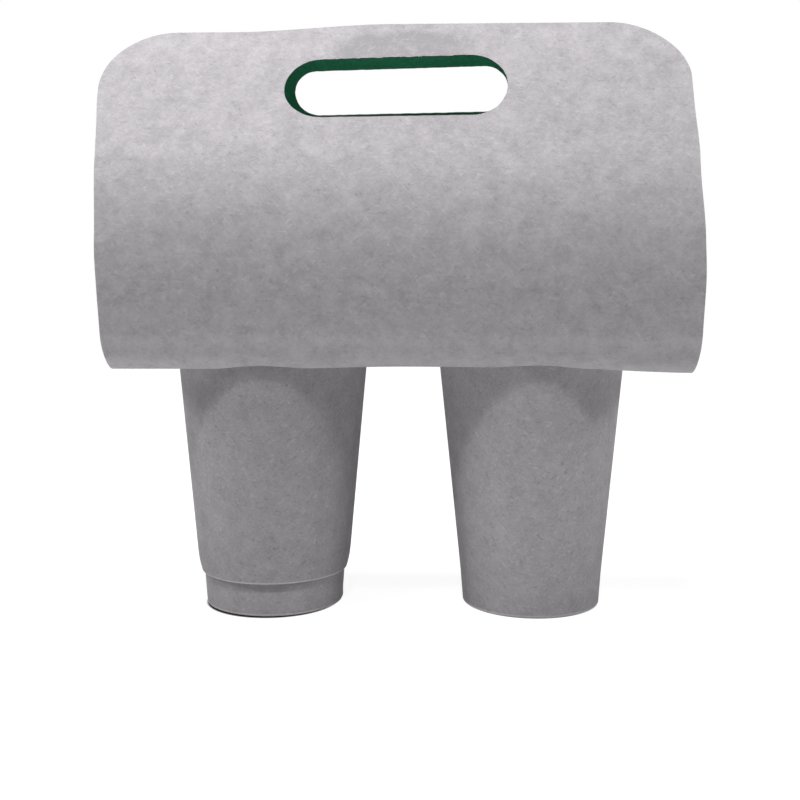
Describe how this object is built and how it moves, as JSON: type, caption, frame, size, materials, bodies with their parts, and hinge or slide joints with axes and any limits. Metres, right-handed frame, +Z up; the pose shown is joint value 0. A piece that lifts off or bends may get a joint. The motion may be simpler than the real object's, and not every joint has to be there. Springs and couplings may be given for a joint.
{
  "type": "cup carrier",
  "caption": "Card loop with a hand slot through its leaning flaps, holding tapered paper cups in round holes in its floor. A card sleeve wraps the left cup.",
  "frame": {"origin": "midway between the feet of the cups, on the surface that they stand on", "axes": "+X along the carrier from the sleeved cup to the bare cup, +Y from the front flap to the back flap, +Z up"},
  "size_m": [0.2534, 0.1008, 0.256],
  "materials": {
    "carrier_card": "matt uncoated grey recycled card, mottled fibres",
    "cup_paper": "matt uncoated grey paper board, mottled fibres",
    "base_paper": "matt uncoated grey paper board",
    "sleeve_card": "matt uncoated grey recycled card, mottled fibres"
  },
  "bodies": {
    "root": {"cup_carrier": "carrier_card", "left_cup_wall": "cup_paper", "left_cup_base": "base_paper", "left_cup_sleeve": "sleeve_card", "right_cup_wall": "cup_paper", "right_cup_base": "base_paper"}
  },
  "joints": []
}
